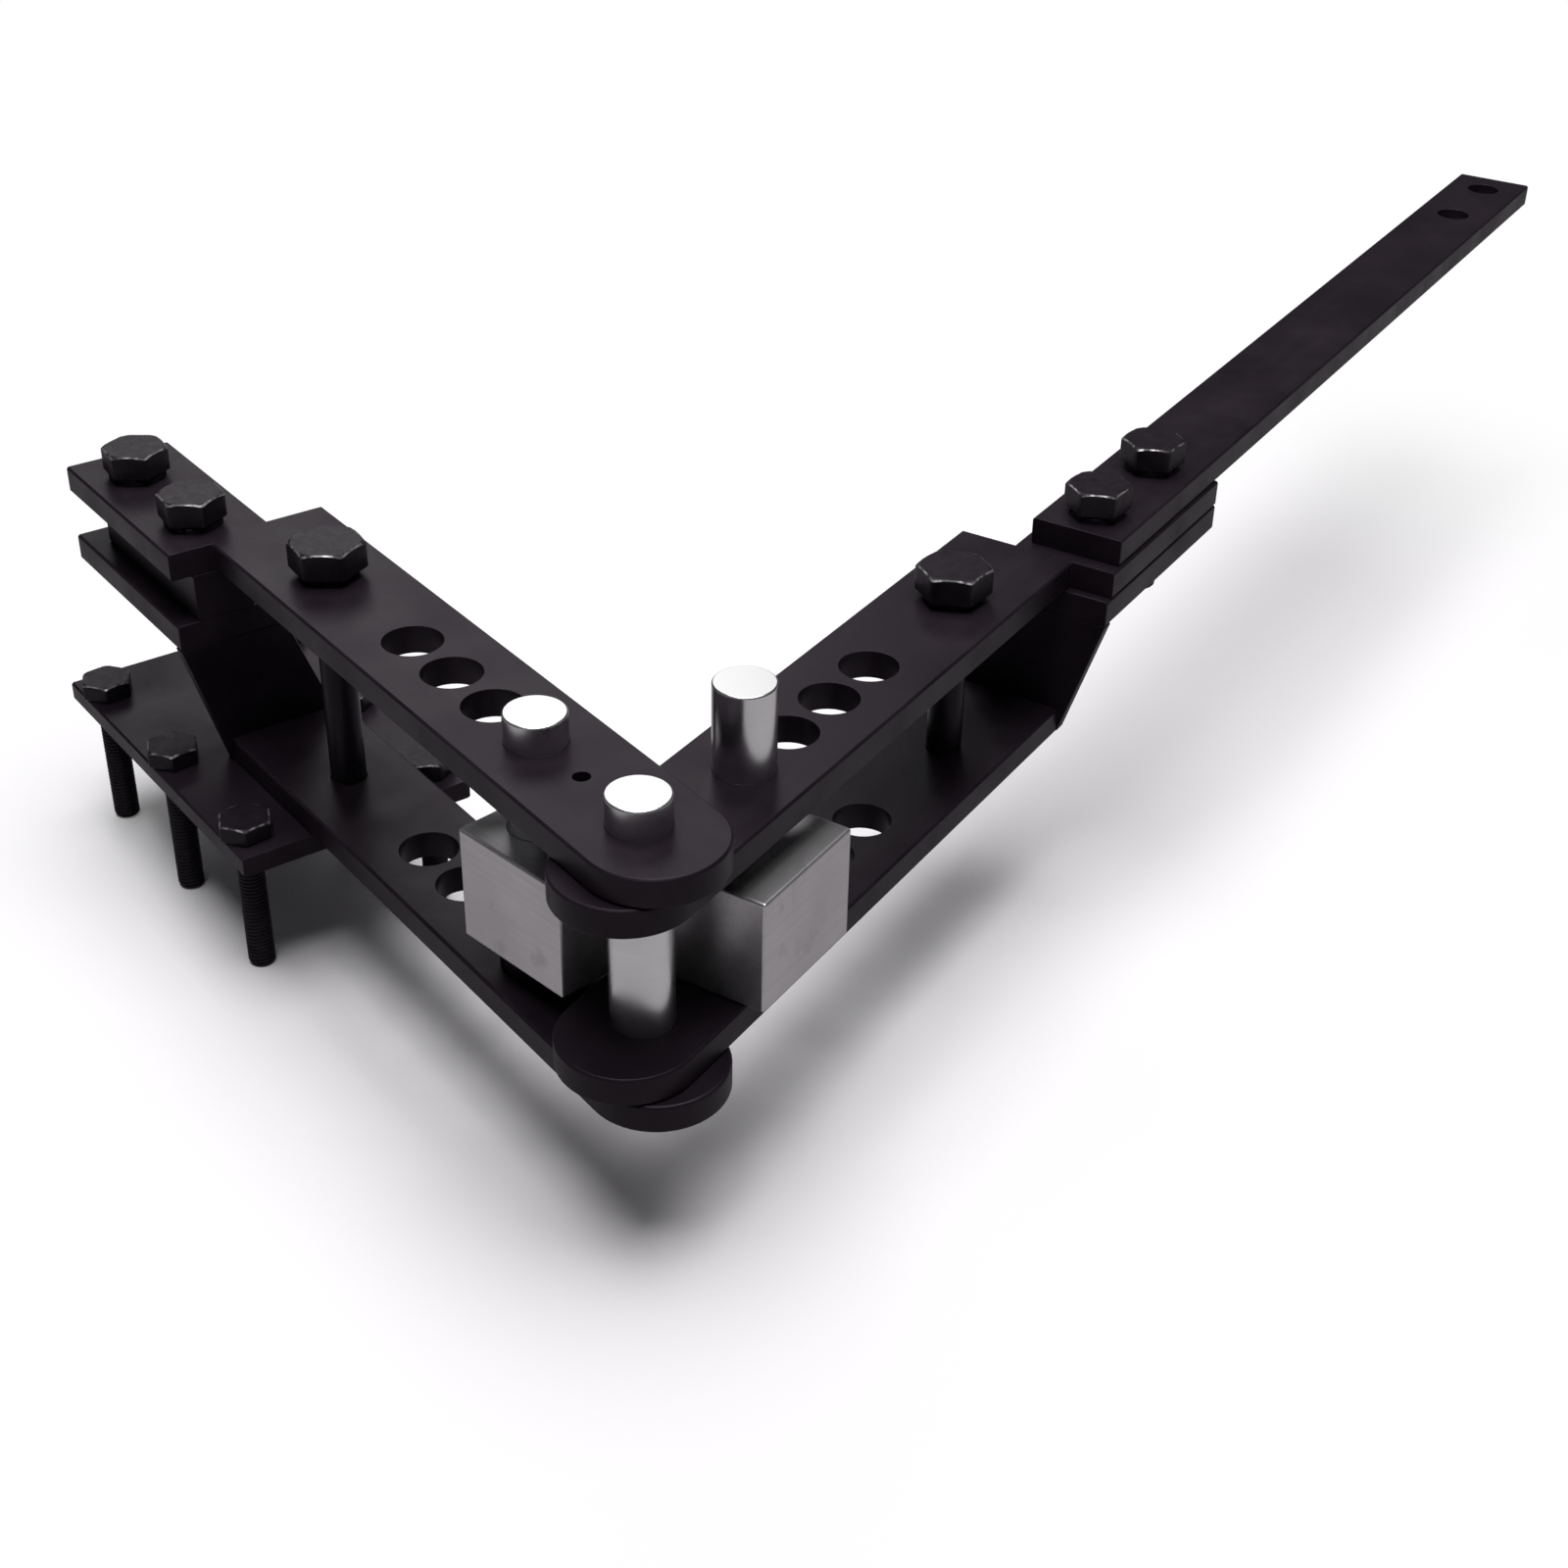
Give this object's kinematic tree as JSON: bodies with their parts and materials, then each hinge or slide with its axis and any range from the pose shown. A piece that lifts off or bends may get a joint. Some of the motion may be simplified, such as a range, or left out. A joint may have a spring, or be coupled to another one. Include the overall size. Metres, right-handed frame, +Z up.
{
  "type": "bar bender",
  "caption": "Bench bar bender: a fixed black steel frame with a bolt-down base, a frame that swings on a bright centre pin with a long flat handle, and a steel die block pinned in each arm.",
  "frame": {"origin": "middle of the base plate's underside, at the centre of its bolt pattern", "axes": "+X along the fixed arm from its tail towards the centre pin, +Y towards the opening between the two arms and the handle's far end, +Z up along the pins"},
  "size_m": [0.4499, 0.9431, 0.21],
  "materials": {
    "frame_black": "satin black paint on flat steel bar",
    "bolt_black": "black oxide with lighter worn edges",
    "die_steel": "ground bright steel",
    "pin_steel": "turned and faced bright steel"
  },
  "bodies": {
    "main_frame": {"base_plate": "frame_black", "base_bolts": "bolt_black", "main_top_bar": "frame_black", "main_bottom_bar": "frame_black", "main_end_plate": "frame_black", "main_tail_bar": "frame_black", "main_tail_spacer": "frame_black", "main_frame_bolt": "bolt_black", "main_frame_washer": "bolt_black", "main_tail_bolts": "bolt_black", "main_tail_washers": "bolt_black", "die_collar": "frame_black"},
    "centre_pin": {"centre_pin": "pin_steel"},
    "main_die_pin": {"main_die_pin": "pin_steel"},
    "main_die_block": {"main_die_block": "die_steel"},
    "swing_frame": {"swing_top_bar": "frame_black", "swing_bottom_bar": "frame_black", "swing_end_plate": "frame_black", "swing_tail_bar": "frame_black", "swing_frame_bolt": "bolt_black", "swing_frame_washer": "bolt_black", "handle_bar": "frame_black", "handle_bolts": "bolt_black", "handle_washers": "bolt_black"},
    "swing_die_pin": {"swing_die_pin": "pin_steel"},
    "swing_die_block": {"swing_die_block": "die_steel"}
  },
  "joints": [
    {"name": "arm_swing", "type": "hinge", "parent": "main_frame", "child": "swing_frame", "pos_m": [0.3165, 0.005, 0.067], "axis": [0, 0, 1], "range_deg": [-111, 1]},
    {"name": "main_die_turn", "type": "hinge", "parent": "main_frame", "child": "main_die_block", "pos_m": [0.24665, 0.005, 0.0609], "axis": [0, 0, 1], "range_deg": [-6, 24]},
    {"name": "swing_die_turn", "type": "hinge", "parent": "swing_frame", "child": "swing_die_block", "pos_m": [0.29135, 0.07017, 0.0609], "axis": [0, 0, 1], "range_deg": [-2, 20]},
    {"name": "centre_pin_lift", "type": "slide", "parent": "main_frame", "child": "centre_pin", "axis": [0, 0, 1], "range_m": [0, 0.12]},
    {"name": "main_die_pin_lift", "type": "slide", "parent": "main_frame", "child": "main_die_pin", "axis": [0, 0, 1], "range_m": [0, 0.12]},
    {"name": "swing_die_pin_lift", "type": "slide", "parent": "swing_frame", "child": "swing_die_pin", "axis": [0, 0, 1], "range_m": [0, 0.095]}
  ]
}
